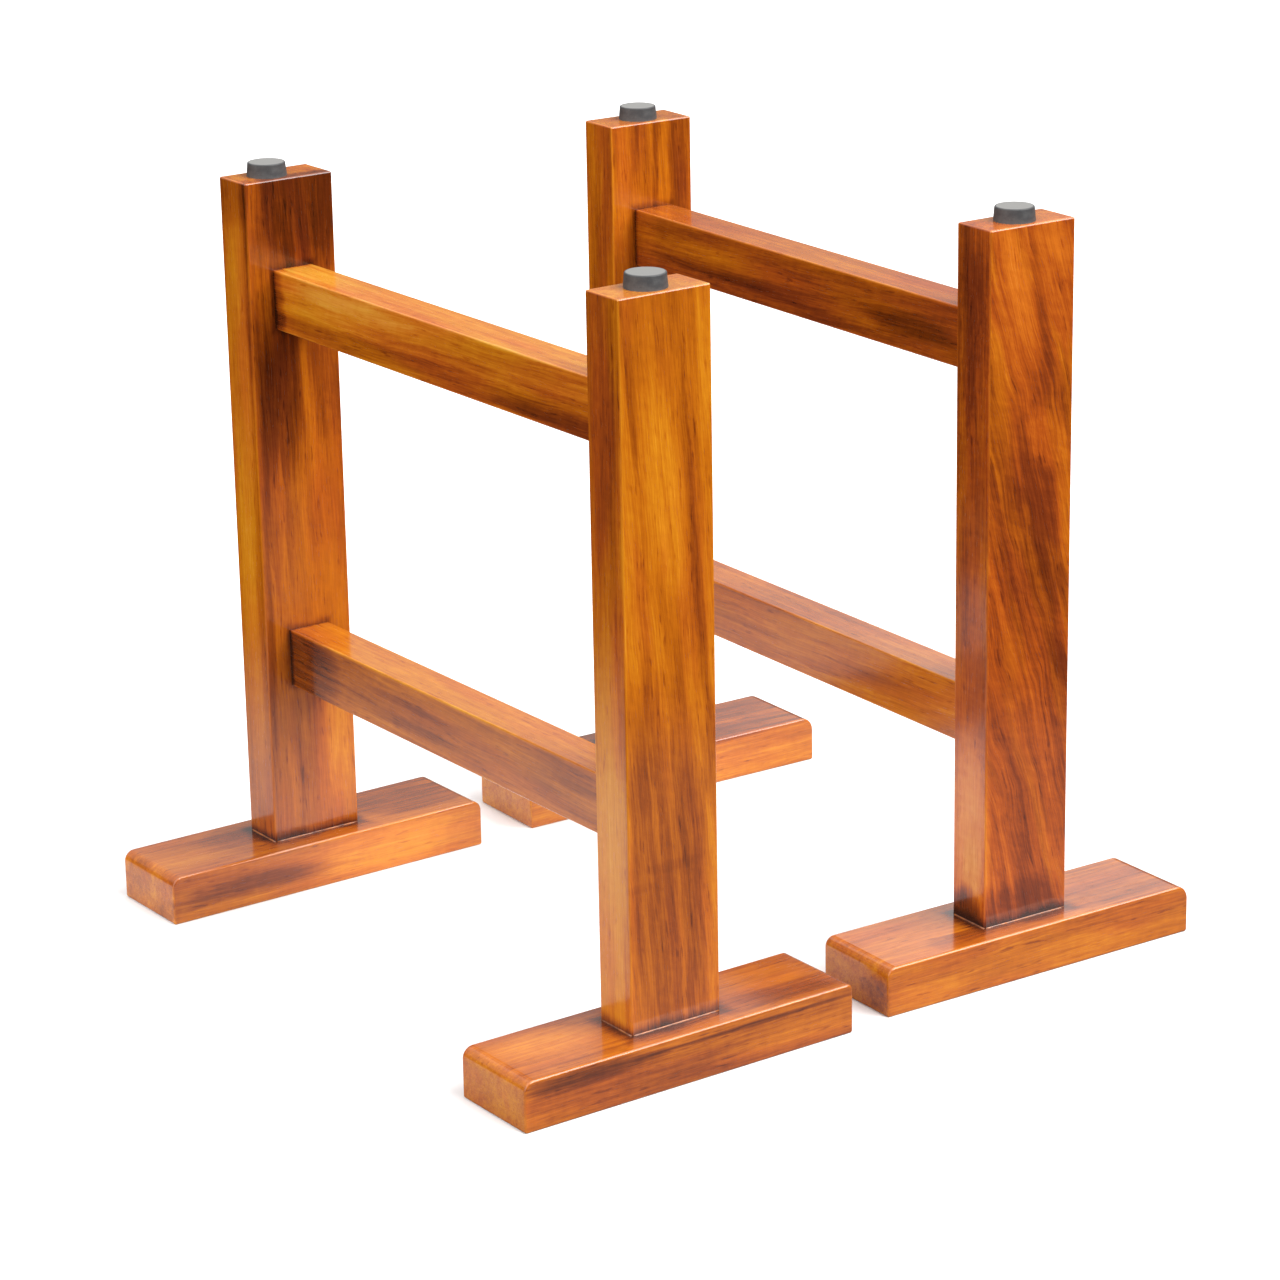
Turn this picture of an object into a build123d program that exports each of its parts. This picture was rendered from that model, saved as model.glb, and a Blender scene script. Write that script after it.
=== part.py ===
from build123d import *
import os

# A pair of wooden trestle stands. Each stand is an H of two posts and two rails on two
# crosswise feet, with a rubber pad on top of each post.
# Sizes are in millimetres and degrees. X runs along the feet, Y along the rails, Z is up.

# Posts: boards stood on end, with their broad faces square to the rails
post_width = 80
post_thickness = 40
post_top = 591            # height of a post's top above the floor
post_spacing = 506        # from post centre to post centre
post_edge = 1.5           # rounding of the long edges and of the top

# Rails: two in each stand, butted against the posts' broad faces
rail_width = 36
rail_height = 48
upper_rail_drop = 72      # from the post's top down to the upper rail's top
lower_rail_lift = 132     # from the foot's top up to the lower rail's underside
rail_edge = 1.2

# Feet: one flat bar under each post
foot_length = 298
foot_width = 82
foot_height = 40
foot_edge = 2             # rounding of every other edge

# Rounding across the top of each foot's two ends, at -X and at +X, as sanded by hand
foot_noses = {"left_front": (9, 5), "left_rear": (9, 9), "right_front": (8, 12), "right_rear": (10, 12)}

# Rubber pads: a tapered puck with a stem that plugs into the post
pad_base_diameter = 32
pad_top_diameter = 30
pad_height = 11
pad_edge = 1
stem_diameter = 10
stem_length = 20

# How far along X each pad sits from the middle of its post
pad_shift = {"left_front": -2, "left_rear": -8, "right_front": -2, "right_rear": 0}

# Joinery: blind mortises, glued
rail_cheek = 12           # step beside a rail's tenon
rail_shoulder = 6         # step above and below a rail's tenon
post_cheek = 12           # step on each broad face beside a post's tenon
post_shoulder = 17        # step on each narrow face beside a post's tenon
post_wall = 12            # wood left behind a rail's mortise
foot_wall = 10            # wood left under a post's mortise
glue_gap = 0.1            # between a tenon's sides and its mortise
glue_pocket = 1           # between a tenon's end and the mortise's bottom

# Wood screws: two up through each foot, in the post's end beside the tenon
screw_length = 70
screw_diameter = 5
head_diameter = 10
head_height = 2.6
head_depth = 0.8          # head's face above the foot's underside
tip_length = 6
slot_length = 5
slot_width = 1.1
slot_depth = 1.6
shank_clearance = 0.5     # around the shank in the foot
snug_clearance = 0.05     # around a screw's head and thread, and around a pad's stem
hole_pocket = 2           # room beyond the end of a screw or a stem

# Where the two stands are put down
stand_spacing = 345       # from stand centre to stand centre
right_stand_turn = -1.8   # the right stand is turned a little about Z

post_height = post_top - foot_height
rail_length = post_spacing - post_thickness
upper_rail_z = post_top - upper_rail_drop - rail_height / 2
lower_rail_z = foot_height + lower_rail_lift + rail_height / 2
rail_heights = {"upper_rail": upper_rail_z, "lower_rail": lower_rail_z}
rail_tenon_width = rail_width - 2 * rail_cheek
rail_tenon_height = rail_height - 2 * rail_shoulder
rail_mortise_depth = post_thickness - post_wall
post_tenon_width = post_width - 2 * post_shoulder
post_tenon_thickness = post_thickness - 2 * post_cheek
foot_mortise_depth = foot_height - foot_wall
screw_offset = (post_tenon_width + post_width) / 4
screw_places = (-screw_offset, screw_offset)
ends = {"front": -1, "rear": 1}

upright = (Align.CENTER, Align.CENTER, Align.MIN)
hanging = (Align.CENTER, Align.CENTER, Align.MAX)


def post(y, inward, pad_x):
    """One post; inward is the direction along Y of the face that takes the rails."""
    body = Box(post_width, post_thickness, post_height, align=upright)
    rounded = body.edges().filter_by(Axis.Z) + body.faces().sort_by(Axis.Z)[-1].edges()
    body = fillet(rounded, post_edge)
    body += Box(post_tenon_width, post_tenon_thickness, foot_mortise_depth - glue_pocket, align=hanging)
    for centre in rail_heights.values():
        mortise = Box(
            rail_tenon_width + 2 * glue_gap, rail_mortise_depth, rail_tenon_height + 2 * glue_gap
        )
        body -= Pos(0, inward * (post_thickness - rail_mortise_depth) / 2, centre - foot_height) * mortise
    stem_hole = Cylinder(stem_diameter / 2 + snug_clearance, stem_length + hole_pocket, align=hanging)
    body -= Pos(pad_x, 0, post_height) * stem_hole
    pilot_depth = head_depth + screw_length - foot_height + hole_pocket
    for x in screw_places:
        body -= Pos(x, 0, 0) * Cylinder(screw_diameter / 2 + snug_clearance, pilot_depth, align=upright)
    return Pos(0, y, foot_height) * body


def rail(centre):
    """One rail with a stub tenon on each end."""
    body = Box(rail_width, rail_length, rail_height)
    body = fillet(body.edges().filter_by(Axis.Y), rail_edge)
    tenoned_length = rail_length + 2 * (rail_mortise_depth - glue_pocket)
    body += Box(rail_tenon_width, tenoned_length, rail_tenon_height)
    return Pos(0, 0, centre) * body


def screw_hole():
    """The countersunk hole for one screw, from the foot's underside up."""
    head_radius = head_diameter / 2 + snug_clearance
    neck_radius = screw_diameter / 2 + snug_clearance
    bore = Cylinder(screw_diameter / 2 + shank_clearance, foot_height, align=upright)
    mouth = Cylinder(head_radius, head_depth, align=upright)
    seat = Pos(0, 0, head_depth) * Cone(head_radius, neck_radius, head_height, align=upright)
    return bore + mouth + seat


def foot(y, noses):
    """One foot with the mortise for its post and two screw holes."""
    body = Box(foot_length, foot_width, foot_height, align=upright)
    for place, nose in zip((0, -1), noses):
        top_ends = body.faces().sort_by(Axis.Z)[-1].edges().filter_by(Axis.Y).sort_by(Axis.X)
        body = fillet(top_ends[place], nose)
    side_edges = body.faces().filter_by(Axis.Y).edges()
    bottom_ends = body.faces().sort_by(Axis.Z)[0].edges().filter_by(Axis.Y)
    body = fillet(side_edges + bottom_ends, foot_edge)
    mortise = Box(
        post_tenon_width + 2 * glue_gap,
        post_tenon_thickness + 2 * glue_gap,
        foot_mortise_depth,
        align=hanging,
    )
    body -= Pos(0, 0, foot_height) * mortise
    for x in screw_places:
        body -= Pos(x, 0, 0) * screw_hole()
    return Pos(0, y, 0) * body


def pad(y, pad_x):
    """One rubber pad with its stem."""
    puck = Cone(pad_base_diameter / 2, pad_top_diameter / 2, pad_height, align=upright)
    puck = fillet(puck.faces().sort_by(Axis.Z)[-1].edges(), pad_edge)
    puck += Cylinder(stem_diameter / 2, stem_length, align=hanging)
    return Pos(pad_x, y, post_top) * puck


def screw():
    """One countersunk wood screw with a cross recess, head down."""
    head = Cone(head_diameter / 2, screw_diameter / 2, head_height, align=upright)
    shank = Cylinder(screw_diameter / 2, screw_length - tip_length, align=upright)
    tip = Pos(0, 0, screw_length - tip_length) * Cone(screw_diameter / 2, 0.3, tip_length, align=upright)
    body = head + shank + tip
    body -= Box(slot_length, slot_width, slot_depth, align=upright)
    body -= Box(slot_width, slot_length, slot_depth, align=upright)
    return Pos(0, 0, head_depth) * body


def stand(side):
    """Every piece of one stand, centred on the origin."""
    pieces = {}
    for end, direction in ends.items():
        y = direction * post_spacing / 2
        pad_x = pad_shift[f"{side}_{end}"]
        pieces[f"{side}_{end}_post"] = post(y, -direction, pad_x)
        pieces[f"{side}_{end}_foot"] = foot(y, foot_noses[f"{side}_{end}"])
        pieces[f"{side}_{end}_pad"] = pad(y, pad_x)
        screws = [Pos(x, y, 0) * screw() for x in screw_places]
        pieces[f"{side}_{end}_foot_screws"] = Compound(screws)
    for name, centre in rail_heights.items():
        pieces[f"{side}_{name}"] = rail(centre)
    return pieces


def pair():
    """Both stands, with the origin under the middle of the whole pair."""
    pieces = stand("left")
    right_place = Pos(stand_spacing, 0, 0) * Rot(0, 0, right_stand_turn)
    for name, shape in stand("right").items():
        pieces[name] = right_place * shape
    boxes = [shape.bounding_box() for shape in pieces.values()]
    middle_x = (min(box.min.X for box in boxes) + max(box.max.X for box in boxes)) / 2
    middle_y = (min(box.min.Y for box in boxes) + max(box.max.Y for box in boxes)) / 2
    return {name: Pos(-middle_x, -middle_y, 0) * shape for name, shape in pieces.items()}


os.makedirs("parts", exist_ok=True)
for name, shape in pair().items():
    export_step(shape, f"parts/{name}.step")
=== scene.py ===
import math
import bpy
from mathutils import Matrix, Vector


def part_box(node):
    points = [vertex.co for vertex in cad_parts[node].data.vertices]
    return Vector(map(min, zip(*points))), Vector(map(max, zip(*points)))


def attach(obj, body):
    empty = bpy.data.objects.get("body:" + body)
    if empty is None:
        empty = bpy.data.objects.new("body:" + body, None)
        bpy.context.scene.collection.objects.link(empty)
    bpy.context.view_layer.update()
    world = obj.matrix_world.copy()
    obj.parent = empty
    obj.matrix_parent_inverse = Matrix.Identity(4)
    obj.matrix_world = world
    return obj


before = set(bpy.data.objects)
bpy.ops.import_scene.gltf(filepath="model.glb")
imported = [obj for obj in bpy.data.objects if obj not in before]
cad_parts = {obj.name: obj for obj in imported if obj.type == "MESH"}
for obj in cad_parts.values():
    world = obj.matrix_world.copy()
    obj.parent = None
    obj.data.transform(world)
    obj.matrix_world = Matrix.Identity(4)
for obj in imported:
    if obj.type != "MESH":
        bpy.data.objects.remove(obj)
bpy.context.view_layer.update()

print("frame loaded:", len(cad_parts), "nodes")

mm = 0.001
stands = ("left", "right")
ends = ("front", "rear")


# Shader and geometry sockets written as expressions
class Wire:
    def __init__(self, graph, socket):
        self.graph = graph
        self.socket = socket

    def math(self, operation, *others):
        sockets = dict(enumerate((self, *others)))
        return self.graph.node("ShaderNodeMath", {"operation": operation}, sockets)

    def __add__(self, other):
        return self.math("ADD", other)

    __radd__ = __add__

    def __sub__(self, other):
        return self.math("SUBTRACT", other)

    def __rsub__(self, other):
        return self.math("MULTIPLY_ADD", -1.0, other)

    def __mul__(self, other):
        return self.math("MULTIPLY", other)

    __rmul__ = __mul__

    def __pow__(self, other):
        return self.math("POWER", other)

    def __abs__(self):
        return self.math("ABSOLUTE")

    def smooth(self, start, stop):
        # 0 at start, 1 at stop, eased in between; start may be the larger
        rising = start < stop
        settings = {"interpolation_type": "SMOOTHSTEP"}
        sockets = {"Value": self, "From Min": min(start, stop), "From Max": max(start, stop)}
        sockets.update({"To Min": 0.0 if rising else 1.0, "To Max": 1.0 if rising else 0.0})
        return self.graph.node("ShaderNodeMapRange", settings, sockets)


class Graph:
    def __init__(self, tree):
        self.tree = tree
        tree.nodes.clear()

    def node(self, kind, settings=None, sockets=None, out=0):
        made = self.tree.nodes.new(kind)
        for name, value in (settings or {}).items():
            if name == "stops":
                self.fillRamp(made.color_ramp, value)
            else:
                setattr(made, name, value)
        for name, value in (sockets or {}).items():
            if isinstance(value, Wire):
                self.tree.links.new(value.socket, made.inputs[name])
            else:
                made.inputs[name].default_value = value
        return Wire(self, made.outputs[out]) if made.outputs else None

    def fillRamp(self, ramp, stops):
        while len(ramp.elements) < len(stops):
            ramp.elements.new(0.5)
        for element, (place, color) in zip(ramp.elements, stops):
            element.position = place
            element.color = (*color, 1.0)

    def noise(self, vector, layer, seed=0.0):
        # a layer is its scales along the three axes per metre, detail, roughness and what it adds to the seed
        scales, detail, roughness, offset = layer
        stretched = self.node("ShaderNodeVectorMath", {"operation": "MULTIPLY"}, {0: vector, 1: scales})
        sockets = {"Vector": stretched, "W": seed + offset, "Scale": 1.0}
        sockets.update({"Detail": detail, "Roughness": roughness})
        return self.node("ShaderNodeTexNoise", {"noise_dimensions": "4D"}, sockets)

    def blend(self, factor, first, second):
        settings = {"data_type": "RGBA", "blend_type": "MIX", "clamp_factor": True}
        first, second = (shade if isinstance(shade, Wire) else (*shade, 1.0) for shade in (first, second))
        return self.node("ShaderNodeMix", settings, {0: factor, 6: first, 7: second}, out=2)

    def bump(self, height, strength, distance):
        sockets = {"Strength": strength, "Distance": distance, "Height": height}
        return self.node("ShaderNodeBump", None, sockets)

    def surface(self, sockets):
        shader = self.node("ShaderNodeBsdfPrincipled", None, sockets)
        self.node("ShaderNodeOutputMaterial", None, {"Surface": shader})


def newMaterial(name):
    material = bpy.data.materials.new(name)
    material.use_nodes = True
    return material, Graph(material.node_tree)


def dress(target, material):
    target.data.materials.clear()
    target.data.materials.append(material)


def addObject(name, data):
    made = bpy.data.objects.new(name, data)
    bpy.context.scene.collection.objects.link(made)
    return made


# Where each board lies: its middle and half sizes along the stand's own axes, with the stand's turn taken out
def middle(node):
    low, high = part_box(node)
    return (Vector(low) + Vector(high)) / 2


standTurn = {}
for side in stands:
    along = middle(f"{side}_rear_post") - middle(f"{side}_front_post")
    standTurn[side] = math.atan2(-along.x, along.y)


def uprightBox(node):
    back = Matrix.Rotation(-standTurn[node.split("_")[0]], 3, "Z")
    points = [back @ vertex.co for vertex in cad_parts[node].data.vertices]
    low = Vector([min(point[axis] for point in points) for axis in range(3)])
    high = Vector([max(point[axis] for point in points) for axis in range(3)])
    return (low + high) / 2, (high - low) / 2


# Lacquered wood. Tone 0 is the darkest heartwood and 1 the palest sapwood. The layers' axes are the board's
# a, b and c, and a pair of insets is how far short of an edge, in mm, an effect is nothing and then whole.
woodLook = {
    "amberStops": [
        (0.0, (0.028, 0.006, 0.0015)),
        (0.2, (0.105, 0.019, 0.002)),
        (0.4, (0.250, 0.052, 0.003)),
        (0.6, (0.440, 0.116, 0.0045)),
        (0.8, (0.600, 0.215, 0.009)),
        (1.0, (0.720, 0.360, 0.040)),
    ],
    "redStops": [
        (0.0, (0.024, 0.005, 0.002)),
        (0.2, (0.085, 0.014, 0.004)),
        (0.4, (0.180, 0.031, 0.006)),
        (0.6, (0.370, 0.070, 0.007)),
        (0.8, (0.560, 0.140, 0.011)),
        (1.0, (0.690, 0.250, 0.035)),
    ],
    # layers of noise
    "cloud": ((5.5, 30.0, 30.0), 2.0, 0.5, 0.0),
    "waver": ((9.0, 22.0, 22.0), 2.0, 0.5, 0.7),
    "band": ((6.0, 110.0, 110.0), 2.0, 0.55, 1.1),
    "streak": ((9.0, 330.0, 330.0), 3.0, 0.6, 2.2),
    "fibre": ((45.0, 1100.0, 1100.0), 2.0, 0.6, 3.3),
    "ripple": ((150.0, 75.0, 75.0), 3.0, 0.6, 4.4),
    "fleck": ((55.0, 420.0, 420.0), 2.0, 0.5, 5.5),
    "pore": ((110.0, 1700.0, 1700.0), 1.0, 0.5, 6.6),
    "haze": ((30.0, 60.0, 60.0), 3.0, 0.6, 7.7),
    "rosy": ((7.0, 45.0, 45.0), 2.0, 0.5, 8.8),
    "blotch": ((38.0, 38.0, 38.0), 2.0, 0.6, 9.9),
    # what they do to the tone
    "cloudGain": 0.34,
    "bandGain": 0.30,
    "streakGain": 0.40,
    "fibreGain": 0.34,
    "rippleGain": 0.13,
    "rippleSlant": (0.5, 0.35),
    "fleckSpread": (0.60, 0.74),
    "fleckDepth": 0.16,
    "poreSpread": (0.62, 0.74),
    "poreDepth": 0.12,
    "rosySpread": (0.30, 0.70),
    # mm that the grain wanders across the board, unless the board says otherwise, and through it
    "sway": 9,
    "depthSway": 5,
    "broadFaceInsets": (0.2, 0.9),
    "patchEdge": 1.5,  # a patch ends where (distance / reach) squared comes to this
    "patchRaggedness": {"cloud": 1.4, "band": 1.5, "streak": 0.6},
    "footEndInsets": (2, 0),
    "footEndLift": 0.08,
    "postTopInsets": (1.2, 0),
    "postTopLift": 0.15,
    "arrisInsets": (2.4, 0.4),
    "arrisWearAndHighlight": 0.14,
    "arrisEvenness": 0.8,
    "seamInside": 0.1,  # share of its reach, inside the neighbour, at which the painted shade is whole
    "seamFalloff": 1.6,
    "seamBlotch": 0.45,
    "gloss": 0.17,
    "hazeDullness": 0.10,
    "poreDullness": 0.15,
    "fibreRelief": 0.35,
    "bumpStrength": 0.18,
    "bumpDistance": 0.12 * mm,
    "lacquer": {"IOR": 1.5, "Coat Weight": 0.35, "Coat Roughness": 0.10},
}

# Each board's own figure, with some patches that are painted light and shade, in millimetres: a runs along
# the grain, b across the board's broad side and c through it. A post's a is the height above the floor, and a
# rail's or foot's a is measured from its middle.
# A patch is (a, b, c of its centre), (its reach along a, b, c), how far b drifts for each step of a, what it
# adds to the tone and, if there is a fifth value, what it adds to the redness.
boards = {
    "left_front_post": {
        "seed": 1.3, "tone": 0.60, "red": 0.08, "drift": 0.07,
        "patches": [
            ((445, -2, -20), (85, 16, 12), -0.10, 0.14),
            ((515, -30, -20), (60, 4, 10), -0.05, -0.16),
            ((390, 24, -20), (120, 5, 10), -0.08, -0.09),
            ((265, -22, -20), (60, 24, 12), 0.0, -0.15),
            ((130, -8, -20), (140, 38, 12), 0.0, -0.17),
            ((125, 32, -20), (80, 7, 14), 0.0, 0.14),
            ((245, 37, -20), (50, 8, 10), 0.0, -0.14),
            ((165, 0, -20), (5, 26, 6), 0.0, -0.05),
            ((153, -30, -20), (4, 14, 6), 0.0, -0.05),
            ((540, 34, -20), (70, 8, 12), 0.0, 0.10),
            ((530, -40, 4), (120, 8, 18), 0.0, -0.04, 0.3),
            ((400, -40, 0), (160, 8, 26), 0.0, 0.04, 0.4),
            ((470, -40, -10), (130, 7, 4), 0.0, -0.10),
            ((150, -40, 0), (190, 8, 26), 0.0, 0.17),
        ],
    },
    "left_rear_post": {
        "seed": 4.1, "tone": 0.52, "red": 0.26, "drift": 0.02, "figure": 0.5,
        "patches": [
            # darker top: partly the wood's darker figure, partly painted shade
            ((575, 5, -20), (65, 70, 14), 0.0, -0.32),
            # left of and below the upper rail: painted shadow of the rail, with the wood's darker figure
            ((500, -34, -20), (70, 10, 14), 0.0, -0.15),
            ((415, -15, -20), (70, 20, 14), 0.0, -0.26),
            ((430, 26, -20), (60, 18, 14), 0.0, -0.14),
            # dark band down the left edge: painted shadow of the rail, with the wood's darker figure
            ((300, -37, -20), (210, 6, 14), 0.0, -0.20),
            ((300, 14, -20), (80, 22, 14), 0.0, 0.03),
            ((120, 26, -20), (75, 16, 14), 0.0, 0.14),
            ((578, -40, 0), (26, 8, 26), 0.0, -0.15),
            ((370, -40, -2), (260, 8, 24), 0.0, 0.28, 0.2),
        ],
    },
    "right_front_post": {
        "seed": 7.7, "tone": 0.56, "red": 0.78, "drift": 0.26,
        "sway": 24, "figure": 1.15, "ripple": 1.8,
        "patches": [
            ((545, -12, -20), (60, 12, 12), -0.25, 0.16),
            ((520, 0, -20), (110, 50, 12), 0.0, 0.06),
            ((575, 25, -20), (28, 14, 12), -0.3, 0.14),
            ((490, 15, -20), (48, 10, 10), -0.25, -0.07),
            ((530, 8, -20), (70, 5, 8), -0.2, -0.10),
            ((455, 36, -20), (32, 7, 10), -0.1, -0.13),
            ((425, 14, -20), (24, 14, 12), -0.3, 0.12),
            ((380, 33, -20), (55, 7, 12), -0.05, 0.12),
            ((370, 10, -20), (46, 20, 12), -0.3, -0.05, 0.2),
            ((305, 28, -20), (32, 13, 12), -0.5, -0.12),
            ((240, 34, -20), (26, 9, 10), -0.5, -0.13),
            ((280, -22, -20), (70, 4, 10), -0.33, 0.12),
            ((170, 0, -20), (80, 4, 10), -0.3, 0.08),
            ((50, 0, -20), (24, 60, 12), 0.0, -0.16),
            ((540, -40, 0), (90, 8, 26), 0.0, -0.18),
            ((400, -40, 0), (80, 8, 26), 0.0, -0.08),
            ((110, -40, 0), (90, 8, 26), 0.0, 0.34),
            # painted reflection of the foot's dark top at the bottom of the narrow face
            ((42, -40, 4), (26, 8, 22), 0.0, -0.62),
            ((250, 0, -20), (200, 60, 12), 0.0, -0.06, 0.2),
        ],
    },
    "right_rear_post": {
        "seed": 9.2, "tone": 0.54, "red": 0.28, "drift": 0.03,
        "patches": [
            ((560, 4, -20), (70, 3.5, 8), 0.02, -0.15),
            ((560, 27, -20), (90, 10, 12), 0.0, -0.12),
            ((560, -28, -20), (90, 7, 12), 0.0, 0.10),
        ],
    },
    "left_upper_rail": {
        "seed": 12.4, "tone": 0.73, "red": 0.50, "drift": 0.02, "figure": 1.25,
        "patches": [
            ((120, 17, -18), (100, 8, 10), 0.0, 0.16),
            ((-170, -8, -18), (85, 18, 12), 0.0, -0.18),
            ((0, 1, -18), (160, 4, 10), 0.0, -0.08),
            ((0, -15, -18), (330, 11, 10), 0.0, -0.15),
            # painted shade where the rail meets the rear post
            ((231, 0, -18), (14, 40, 10), 0.0, -0.32),
            # top face lighter: painted light from above
            ((0, 25, 0), (330, 5, 30), 0.0, 0.05),
            # painted reflection of the rear post in the top near it, over the painted light from above
            ((205, 25, 0), (60, 5, 30), 0.0, 0.14),
            ((120, 6, -18), (130, 12, 10), 0.0, 0.07),
        ],
    },
    "left_lower_rail": {
        "seed": 15.8, "tone": 0.55, "red": 0.15, "drift": -0.03, "figure": 1.15,
        "patches": [
            # painted shade where the rail meets the rear post, with the wood's own darker tone
            ((205, 0, -18), (45, 30, 12), 0.0, -0.26),
            ((60, -2, -18), (70, 12, 12), 0.0, -0.08),
            ((0, -20, -18), (160, 6, 10), 0.0, 0.10),
            ((-160, 8, -18), (60, 14, 12), 0.0, -0.12),
            # top face lighter: painted light from above
            ((0, 25, 0), (330, 5, 30), 0.0, 0.18),
        ],
    },
    "right_upper_rail": {
        "seed": 18.5, "tone": 0.44, "red": 0.45, "drift": 0.03,
        "patches": [
            ((90, 5, -18), (100, 8, 12), 0.03, 0.12),
            ((80, -11, -18), (130, 4, 10), 0.03, -0.14),
            ((-150, -4, -18), (65, 12, 12), 0.0, -0.22),
            # top face lighter: painted light from above
            ((0, 25, 0), (330, 5, 30), 0.0, 0.20),
        ],
    },
    "right_lower_rail": {
        "seed": 21.9, "tone": 0.61, "red": 0.15, "drift": 0.02,
        "patches": [
            ((-130, 0, -18), (70, 14, 12), 0.0, -0.10),
            ((0, 25, 0), (330, 5, 30), 0.0, -0.08),
        ],
    },
    "left_front_foot": {
        "seed": 24.6, "tone": 0.49, "red": 0.22, "drift": 0.0,
        "patches": [
            ((-90, -41, 12), (65, 10, 7), 0.0, -0.25),
            ((60, -41, 12), (100, 8, 2), 0.0, -0.24),
            ((-149, 0, 0), (8, 60, 30), 0.0, 0.10),
            ((90, -41, -8), (70, 8, 8), 0.0, 0.10),
            ((-100, 10, 20), (50, 24, 6), 0.0, 0.16),
            ((100, 10, 20), (40, 20, 6), 0.0, 0.10),
            ((90, -22, 20), (60, 14, 6), 0.0, -0.14),
        ],
    },
    "left_rear_foot": {
        "seed": 27.2, "tone": 0.58, "red": 0.12, "drift": 0.03,
        "patches": [
            ((60, -41, 0), (85, 10, 22), 0.0, 0.20),
            ((-149, 0, 0), (8, 60, 30), 0.0, -0.07),
            ((-75, -41, -2), (70, 10, 11), 0.0, -0.24),
            ((-60, 0, 20), (30, 30, 6), 0.0, -0.12),
            ((100, 10, 20), (70, 36, 6), 0.0, -0.20),
        ],
    },
    "right_front_foot": {
        "seed": 30.9, "tone": 0.58, "red": 0.12, "drift": 0.02,
        "patches": [
            ((-149, -22, -4), (7, 18, 14), 0.0, -0.26),
            # painted reflection of the post in the foot's top, left of the post
            ((-70, -25, 20), (30, 12, 6), 0.0, -0.14),
            ((-110, -41, -10), (40, 8, 10), 0.0, 0.10),
            ((110, 0, 20), (60, 50, 6), 0.0, -0.14),
        ],
    },
    "right_rear_foot": {
        "seed": 33.3, "tone": 0.62, "red": 0.0, "drift": 0.04,
        "patches": [((0, 0, 20), (230, 60, 5), 0.0, -0.26)],
    },
}
# Which of X, Y and Z are a, b and c
boardAxes = {"post": (2, 0, 1), "rail": (1, 2, 0), "foot": (0, 1, 2)}
# Painted shade, with some lacquer stain, darkens where boards meet: the neighbour, how far from it the
# darkening reaches in mm, and how dark it is
seamShade = {
    "post": (
        ("{side}_{end}_foot", 13, 0.50),
        ("{side}_upper_rail", 9, 0.24),
        ("{side}_lower_rail", 9, 0.24),
    ),
    "rail": (("{side}_front_post", 7, 0.40), ("{side}_rear_post", 7, 0.45)),
    "foot": (("{side}_{end}_post", 17, 0.46),),
}


def insetMask(value, limit, insets):
    return value.smooth(limit - insets[0] * mm, limit - insets[1] * mm)


def patchMask(a, b, c, patch, wobble):
    centre, reach, drift = patch[:3]
    away = wobble
    fromCentre = a - centre[0] * mm
    across = b - centre[1] * mm - fromCentre * drift
    through = c - centre[2] * mm
    for offset, size in zip((fromCentre, across, through), reach):
        share = offset * (1 / (size * mm))
        away = away + share * share
    return away.smooth(woodLook["patchEdge"], 0.0)


# mask of the painted shade, with some lacquer stain, near a neighbouring board
def seamShadeMask(parts, boxCentre, boxHalf, reach, wobble):
    gap = None
    for value, centre, half in zip(parts, boxCentre, boxHalf):
        clear = abs(value - centre) - half
        gap = clear if gap is None else gap.math("MAXIMUM", clear)
    fade = (gap + wobble * reach).smooth(reach, -woodLook["seamInside"] * reach)
    return fade ** woodLook["seamFalloff"]


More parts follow.
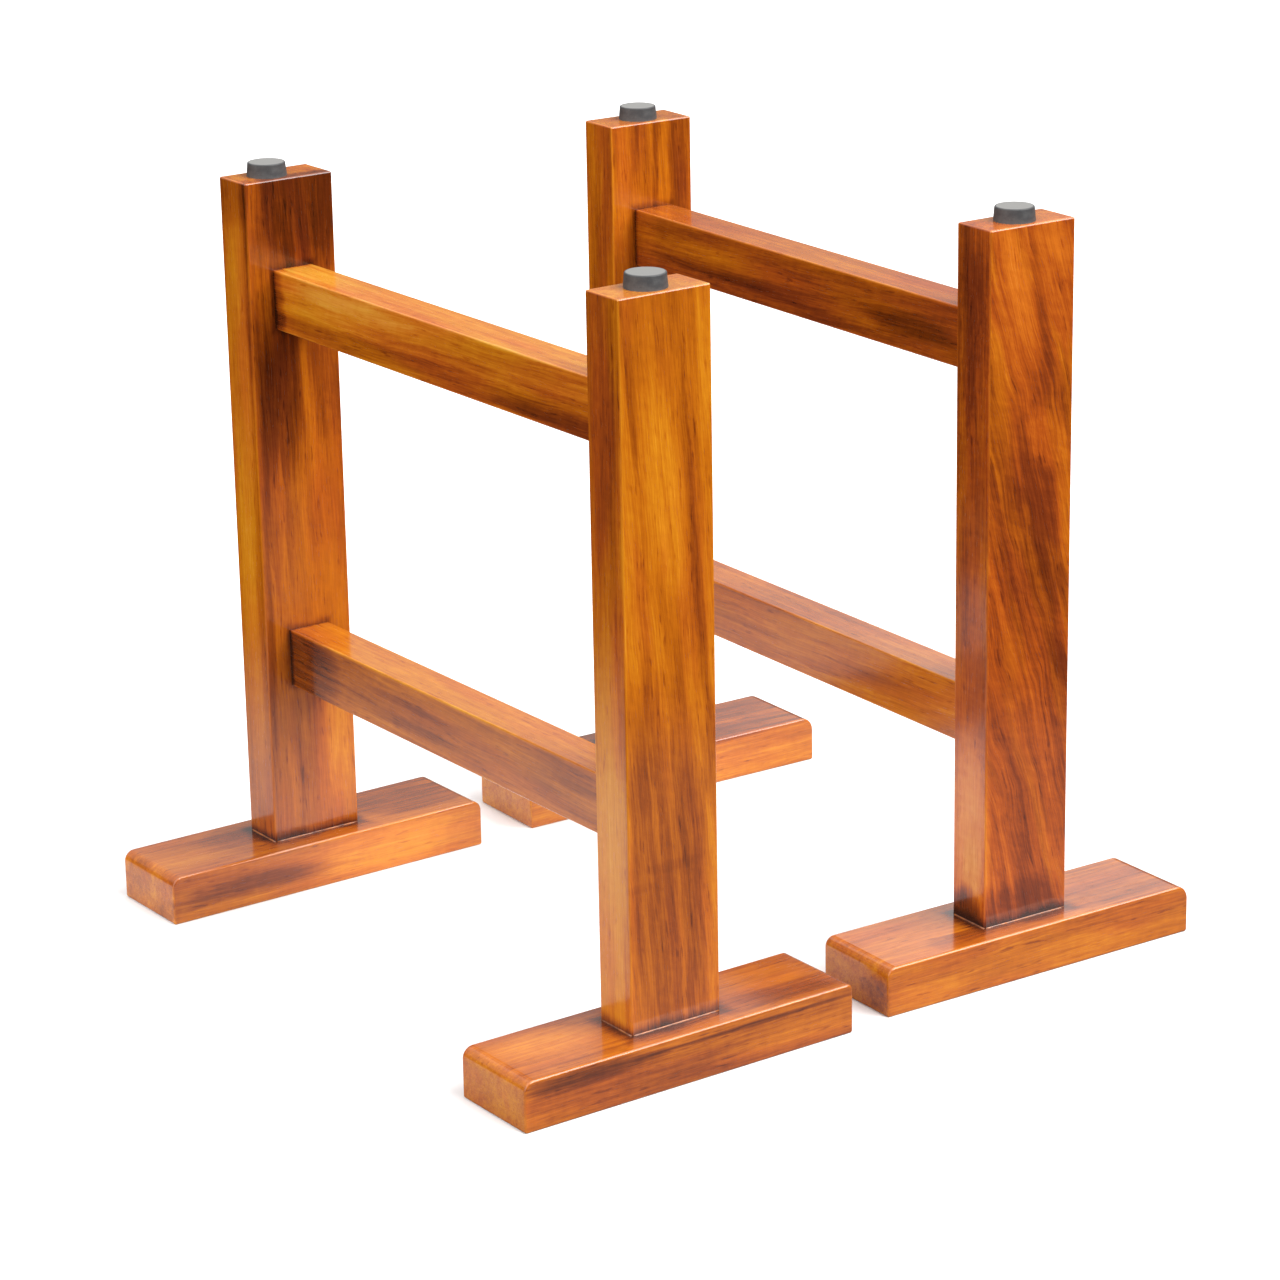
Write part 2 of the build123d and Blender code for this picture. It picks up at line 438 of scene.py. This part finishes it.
def woodMaterial(node, board):
    look = woodLook
    side, end, kind = node.split("_")
    centre, half = uprightBox(node)
    if kind == "post":
        centre.z = 0.0
    axes = boardAxes[kind]
    halfLength, halfBreadth, halfDepth = (half[axis] for axis in axes)
    turn = standTurn[side]
    place = Matrix.Rotation(turn, 3, "Z") @ centre
    material, graph = newMaterial(node + "_lacquered_wood")
    space = graph.node("ShaderNodeTexCoord", out="Object")
    sockets = {"Vector": space, "Location": place, "Rotation": (0.0, 0.0, turn)}
    placed = graph.node("ShaderNodeMapping", {"vector_type": "TEXTURE"}, sockets)
    a, b, c = (graph.node("ShaderNodeSeparateXYZ", None, {0: placed}, out=axis) for axis in axes)

    def together(along, across, through):
        return graph.node("ShaderNodeCombineXYZ", None, {0: along, 1: across, 2: through})

    def layer(name, vector):
        return graph.noise(vector, look[name], board["seed"])

    def swing(name, vector):
        return layer(name, vector) - 0.5  # the noise lies about 0.5

    # the grain drifts across the broad faces only, and wavers a little
    onBroadFace = insetMask(abs(b), halfBreadth, look["broadFaceInsets"])
    straight = together(a, b, c)
    waver = swing("waver", straight)
    sway = board.get("sway", look["sway"]) * mm
    drifted = b + a * board["drift"] * onBroadFace + waver * sway
    grain = together(a, drifted, c + waver * (look["depthSway"] * mm))

    cloud = swing("cloud", grain)
    band = swing("band", grain)
    streak = swing("streak", grain)
    fibre = swing("fibre", grain)
    forward, sideways = look["rippleSlant"]  # askew, so that it doesn't line up with the fibres like a weave
    ripple = swing("ripple", together(a + drifted * forward, drifted - a * sideways, c))
    fleck = layer("fleck", grain).smooth(*look["fleckSpread"])
    pore = layer("pore", grain).smooth(*look["poreSpread"])

    tone = (
        cloud * look["cloudGain"]
        + band * look["bandGain"]
        + streak * (look["streakGain"] * board.get("figure", 1.0))
        + fibre * look["fibreGain"]
        + ripple * (look["rippleGain"] * board.get("ripple", 1.0))
        - fleck * look["fleckDepth"]
        - pore * look["poreDepth"]
        + board["tone"]
    )
    redness = layer("rosy", grain).smooth(*look["rosySpread"]) + (board["red"] - 0.5)
    ragged = look["patchRaggedness"]
    raggedness = cloud * ragged["cloud"] + band * ragged["band"] + streak * ragged["streak"]
    for patch in board["patches"]:
        mask = patchMask(a, b, c, patch, raggedness)
        tone = tone + mask * patch[3]
        if len(patch) > 4:
            redness = redness + mask * patch[4]

    # sawn ends are paler, arrises are paler from wear and a painted highlight, and joints get painted shade
    # with some lacquer stain
    # the foot ends are paler: their end grain, and a painted reflection of the pale floor
    if kind == "foot":
        tone = tone + insetMask(abs(a), halfLength, look["footEndInsets"]) * look["footEndLift"]
    if kind == "post":
        tone = tone + insetMask(a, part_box(node)[1][2], look["postTopInsets"]) * look["postTopLift"]
    # the long arrises are paler: partly wear where the lacquer thins, partly a painted highlight
    nearB = insetMask(abs(b), halfBreadth, look["arrisInsets"])
    nearC = insetMask(abs(c), halfDepth, look["arrisInsets"])
    tone = tone + nearB * nearC * (streak + look["arrisEvenness"]) * look["arrisWearAndHighlight"]
    blotch = layer("blotch", straight) - look["seamBlotch"]
    # painted shade, with some lacquer stain, where this board meets its neighbours
    for name, reach, depth in seamShade[kind]:
        boxCentre, boxHalf = uprightBox(name.format(side=side, end=end))
        offset = [(boxCentre - centre)[axis] for axis in axes]
        mask = seamShadeMask((a, b, c), offset, [boxHalf[axis] for axis in axes], reach * mm, blotch)
        tone = tone - mask * depth

    ramps = (look["amberStops"], look["redStops"])
    amber, red = (graph.node("ShaderNodeValToRGB", {"stops": stops}, {0: tone}) for stops in ramps)
    color = graph.blend(redness, amber, red)
    haze = swing("haze", grain)
    roughness = haze * look["hazeDullness"] + pore * look["poreDullness"] + look["gloss"]
    relief = fibre * look["fibreRelief"] - pore
    bump = graph.bump(relief, look["bumpStrength"], look["bumpDistance"])
    graph.surface({"Base Color": color, "Roughness": roughness, "Normal": bump, **look["lacquer"]})
    return material


for node, board in boards.items():
    dress(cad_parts[node], woodMaterial(node, board))
print("boards dressed:", len(boards))

# Rubber pads, dusty, with painted light on the top face inside a darker rim
rubberLook = {
    "color": (0.040, 0.040, 0.042),
    "dust": (0.11, 0.11, 0.108),
    "paintedTopLightColor": (0.21, 0.206, 0.196),
    "paintedTopLightShare": 0.8,
    "topDepth": (-1.2 * mm, -0.1 * mm),
    "rim": 1.6 * mm,
    "rimFade": 1 * mm,
    "speckle": ((900.0, 900.0, 900.0), 3.0, 0.6, 1.0),
    "speckleSpread": (0.5, 0.8),
    "speckleDust": 0.25,
    "cloud": ((90.0, 90.0, 160.0), 3.0, 0.6, 2.0),
    "cloudSpread": (0.35, 0.75),
    "cloudDust": 0.5,
    "roughness": 0.50,
    "cloudDullness": 0.15,
    "bumpStrength": 0.4,
    "bumpDistance": 0.1 * mm,
}


def rubberMaterial(pad):
    look = rubberLook
    low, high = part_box(pad)
    top = ((low[0] + high[0]) / 2, (low[1] + high[1]) / 2, high[2])
    material, graph = newMaterial(pad + "_rubber")
    sockets = {"Vector": graph.node("ShaderNodeTexCoord", out="Object"), "Location": top}
    space = graph.node("ShaderNodeMapping", {"vector_type": "TEXTURE"}, sockets)
    x, y, height = (graph.node("ShaderNodeSeparateXYZ", None, {0: space}, out=axis) for axis in range(3))
    speckle = graph.noise(space, look["speckle"])
    cloud = graph.noise(space, look["cloud"])
    edge = (high[0] - low[0]) / 2 - look["rim"]
    insideRim = ((x * x + y * y) ** 0.5).smooth(edge, edge - look["rimFade"])
    # painted light: the top face inside the rim is lighter, as if lit from above
    paintedTopLight = height.smooth(*look["topDepth"]) * insideRim
    dusty = cloud.smooth(*look["cloudSpread"]) * look["cloudDust"]
    dusty = dusty + speckle.smooth(*look["speckleSpread"]) * look["speckleDust"]
    color = graph.blend(dusty, look["color"], look["dust"])
    color = graph.blend(paintedTopLight * look["paintedTopLightShare"], color, look["paintedTopLightColor"])
    bump = graph.bump(speckle, look["bumpStrength"], look["bumpDistance"])
    roughness = cloud * look["cloudDullness"] + look["roughness"]
    graph.surface({"Base Color": color, "Roughness": roughness, "Normal": bump})
    return material


# Plated screws
steelLook = {
    "color": (0.62, 0.58, 0.48),
    "dull": (0.45, 0.43, 0.40),
    "scratch": ((2500.0, 2500.0, 300.0), 2.0, 0.6, 3.0),
    "scratchDullness": 0.2,
    "roughness": 0.34,
}


def steelMaterial():
    look = steelLook
    material, graph = newMaterial("screw_steel")
    scratch = graph.noise(graph.node("ShaderNodeTexCoord", out="Object"), look["scratch"])
    tint = graph.blend(scratch, look["color"], look["dull"])
    roughness = scratch * look["scratchDullness"] + look["roughness"]
    graph.surface({"Base Color": tint, "Metallic": 1.0, "Roughness": roughness})
    return material


steel = steelMaterial()
for name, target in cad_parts.items():
    if name.endswith("_pad"):
        dress(target, rubberMaterial(name))
    if name.endswith("_screws"):
        dress(target, steel)
print("rubber and steel dressed")

# Beads of lacquer gathered in the corner round the bottom of each post
beadLook = {
    "sizes": {"Radius": 0.8 * mm, "Corner": 1.2 * mm, "Step": 4 * mm, "Waviness": 0.5 * mm, "Seed": 5.0},
    "waveScale": 70.0,
    "sides": 10,
    "dark": (0.10, 0.022, 0.004),
    "pale": (0.36, 0.10, 0.012),
    "pool": ((120.0, 120.0, 120.0), 2.0, 0.5, 4.0),
    "poolSpread": (0.3, 0.7),
    "roughness": 0.10,
    "poolDullness": 0.12,
    "coat": {"Coat Weight": 0.5, "Coat Roughness": 0.05},
}


def beadLoops(side):
    # closed rectangles, in the stand's own axes
    loops = []
    for end in ends:
        post, postHalf = uprightBox(f"{side}_{end}_post")
        foot, footHalf = uprightBox(f"{side}_{end}_foot")
        z = foot.z + footHalf.z
        signs = ((-1, -1), (1, -1), (1, 1), (-1, 1))
        loops.append([(post.x + u * postHalf.x, post.y + v * postHalf.y, z) for u, v in signs])
    return loops


def beadTree(material):
    tree = bpy.data.node_groups.new("lacquer_bead_along_loops", "GeometryNodeTree")
    face = tree.interface
    face.new_socket("Loops", in_out="INPUT", socket_type="NodeSocketGeometry")
    for name in beadLook["sizes"]:
        face.new_socket(name, in_out="INPUT", socket_type="NodeSocketFloat")
    face.new_socket("Beads", in_out="OUTPUT", socket_type="NodeSocketGeometry")
    graph = Graph(tree)
    given = {name: graph.node("NodeGroupInput", out=name) for name in ("Loops", *beadLook["sizes"])}

    loops = graph.node("GeometryNodeMeshToCurve", None, {"Mesh": given["Loops"]})
    sockets = {"Curve": loops, "Radius": given["Corner"], "Limit Radius": True}
    rounded = graph.node("GeometryNodeFilletCurve", None, sockets)
    sockets = {"Curve": rounded, "Length": given["Step"]}
    spaced = graph.node("GeometryNodeResampleCurve", {"mode": "LENGTH"}, sockets)

    place = graph.node("GeometryNodeInputPosition")
    sockets = {"Vector": place, "W": given["Seed"], "Scale": beadLook["waveScale"]}
    jitter = graph.node("ShaderNodeTexNoise", {"noise_dimensions": "4D"}, sockets, out="Color")
    sockets = {0: jitter, 1: (0.5, 0.5, 0.5)}
    centred = graph.node("ShaderNodeVectorMath", {"operation": "SUBTRACT"}, sockets)
    sockets = {0: centred, "Scale": given["Waviness"]}
    shift = graph.node("ShaderNodeVectorMath", {"operation": "SCALE"}, sockets)
    wavy = graph.node("GeometryNodeSetPosition", None, {"Geometry": spaced, "Offset": shift})

    sockets = {"Resolution": beadLook["sides"], "Radius": given["Radius"]}
    ringShape = graph.node("GeometryNodeCurvePrimitiveCircle", None, sockets)
    tube = graph.node("GeometryNodeCurveToMesh", None, {"Curve": wavy, "Profile Curve": ringShape})
    smooth = graph.node("GeometryNodeSetShadeSmooth", None, {"Geometry": tube})
    whole = graph.node("GeometryNodeRealizeInstances", None, {"Geometry": smooth})
    finished = graph.node("GeometryNodeSetMaterial", None, {"Geometry": whole, "Material": material})
    graph.node("NodeGroupOutput", None, {"Beads": finished})
    return tree


def beadMaterial():
    look = beadLook
    material, graph = newMaterial("lacquer_bead")
    pool = graph.noise(graph.node("ShaderNodeTexCoord", out="Object"), look["pool"])
    color = graph.blend(pool.smooth(*look["poolSpread"]), look["dark"], look["pale"])
    roughness = pool * look["poolDullness"] + look["roughness"]
    graph.surface({"Base Color": color, "Roughness": roughness, **look["coat"]})
    return material


def addBeads(side, tree):
    turned = Matrix.Rotation(standTurn[side], 3, "Z")
    points, edges = [], []
    for loop in beadLoops(side):
        first = len(points)
        points += [turned @ Vector(point) for point in loop]
        edges += [(first + index, first + (index + 1) % len(loop)) for index in range(len(loop))]
    mesh = bpy.data.meshes.new(f"{side}_lacquer_beads")
    mesh.from_pydata(points, edges, [])
    beads = addObject(f"{side}_lacquer_beads", mesh)
    modifier = beads.modifiers.new("beads", "NODES")
    modifier.node_group = tree
    for item in tree.interface.items_tree:
        if item.name in beadLook["sizes"]:
            modifier[item.identifier] = beadLook["sizes"][item.name]
    bpy.context.view_layer.update()
    evaluated = beads.evaluated_get(bpy.context.evaluated_depsgraph_get())
    beads.data = bpy.data.meshes.new_from_object(evaluated)
    beads.modifiers.remove(modifier)
    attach(beads, f"{side}_stand")
    return len(beads.data.polygons)


tree = beadTree(beadMaterial())
print("lacquer beads:", [addBeads(side, tree) for side in stands], "faces")

# Studio: a white sheet under two soft lights and an even fill. The backdrop and the overhead light show only
# in what the lacquer mirrors. The sheet looks white, but as a light and in mirrors it darkens with distance.
studio = {
    "floorSize": 30.0,
    "floorWhite": 0.9,
    "floorRoughness": 0.9,
    "brightSpot": (0.45, 0.15),  # metres from the middle: a painted pool of light, dimmer beyond the first and whole within the second
    "paintedPoolDim": 0.35,
    "sheetEdge": (0.45, 1.05),  # metres from the middle where it starts to darken and where it is black
    "frontEdge": (0.3, -0.6),  # the same towards the front, along Y
    "frontShade": 0.72,
    "fill": 0.95,
    "seenWhite": 1.2,
    "backdrop": 0.30,
    "backdropBase": 0.35,
    "backdropRise": (0.18, 0.40),
    "backdropGain": 2,
    "rightSide": (0.50, 0.62),
    "overhead": 1.5,
    "overheadRise": (0.55, 0.85),
    "keyStrength": 4.4,
    "keySoftness": 50.0,
    "keyFrom": (0.38, -0.62, 0.75),
    "sideStrength": 1.6,
    "sideSoftness": 70.0,
    "sideFrom": (-0.85, -0.15, 0.45),
}


def addFloor():
    reach = studio["floorSize"] / 2
    corners = [(-reach, -reach, 0), (reach, -reach, 0), (reach, reach, 0), (-reach, reach, 0)]
    mesh = bpy.data.meshes.new("studio_floor")
    mesh.from_pydata(corners, [], [(0, 1, 2, 3)])
    material, graph = newMaterial("studio_floor")
    space = graph.node("ShaderNodeTexCoord", out="Object")
    away = graph.node("ShaderNodeVectorMath", {"operation": "LENGTH"}, {0: space}, out="Value")
    seen = graph.node("ShaderNodeLightPath", out="Is Camera Ray")
    front = graph.node("ShaderNodeSeparateXYZ", None, {0: space}, out="Y").smooth(*studio["frontEdge"])
    shade = away.smooth(*studio["sheetEdge"]).math("MAXIMUM", front * studio["frontShade"])
    dull = studio["paintedPoolDim"]
    # painted pool of light in the middle of the sheet, seen only as light and in mirrors
    lit = (1 - shade) * (away.smooth(*studio["brightSpot"]) * dull + (1 - dull))
    color = graph.blend(seen.math("MAXIMUM", lit), (0.0, 0.0, 0.0), [studio["floorWhite"]] * 3)
    roughness = studio["floorRoughness"]
    graph.surface({"Base Color": color, "Roughness": roughness, "Specular IOR Level": 0.0})
    mesh.materials.append(material)
    addObject("studio_floor", mesh)


def addWorld():
    world = bpy.data.worlds.new("studio")
    bpy.context.scene.world = world
    world.use_nodes = True
    graph = Graph(world.node_tree)
    direction = graph.node("ShaderNodeTexCoord", out="Generated")
    rightward = graph.node("ShaderNodeSeparateXYZ", None, {0: direction}, out="X")
    up = graph.node("ShaderNodeSeparateXYZ", None, {0: direction}, out="Z")
    seen = graph.node("ShaderNodeLightPath", out="Is Camera Ray")
    mirrored = graph.node("ShaderNodeLightPath", out="Is Glossy Ray")
    backdrop = up.smooth(*studio["backdropRise"]) * studio["backdropGain"] + studio["backdropBase"]
    backdrop = backdrop * (rightward.smooth(*studio["rightSide"]) + 1) * studio["backdrop"]
    glow = backdrop + up.smooth(*studio["overheadRise"]) * studio["overhead"]
    strength = mirrored * glow + (1 - mirrored) * studio["fill"]
    strength = seen * studio["seenWhite"] + (1 - seen) * strength
    sockets = {"Color": (1.0, 1.0, 1.0, 1.0), "Strength": strength}
    background = graph.node("ShaderNodeBackground", None, sockets)
    graph.node("ShaderNodeOutputWorld", None, {"Surface": background})


def addLamp(name):
    light = bpy.data.lights.new(name, "SUN")
    light.energy = studio[name + "Strength"]
    light.angle = math.radians(studio[name + "Softness"])
    lamp = addObject(name, light)
    lamp.rotation_euler = Vector(studio[name + "From"]).to_track_quat("Z", "Y").to_euler()


cameraSetup = {
    "azimuth": -35.267,
    "elevation": 18.046,
    "roll": -1.041,
    "target": (-0.0167, -0.0089, 0.2364),
    "distance": 3.28,
    "lens": 116.6,
    "sensor": 36.0,
}


def addCamera():
    turn, rise, roll = (math.radians(cameraSetup[name]) for name in ("azimuth", "elevation", "roll"))
    back = Vector((math.sin(turn) * math.cos(rise), -math.cos(turn) * math.cos(rise), math.sin(rise)))
    right = Vector((0, 0, 1)).cross(back).normalized()
    up = back.cross(right)
    rolledRight = right * math.cos(roll) + up * math.sin(roll)
    rolledUp = up * math.cos(roll) - right * math.sin(roll)
    lens = bpy.data.cameras.new("camera")
    lens.lens = cameraSetup["lens"]
    lens.sensor_width = cameraSetup["sensor"]
    camera = addObject("camera", lens)
    turned = Matrix((rolledRight, rolledUp, back)).transposed().to_4x4()
    place = Vector(cameraSetup["target"]) + back * cameraSetup["distance"]
    camera.matrix_world = Matrix.Translation(place) @ turned
    bpy.context.scene.camera = camera


addFloor()
addWorld()
addLamp("key")
addLamp("side")
addCamera()
bpy.context.scene.view_settings.view_transform = "Standard"
print("studio ready")
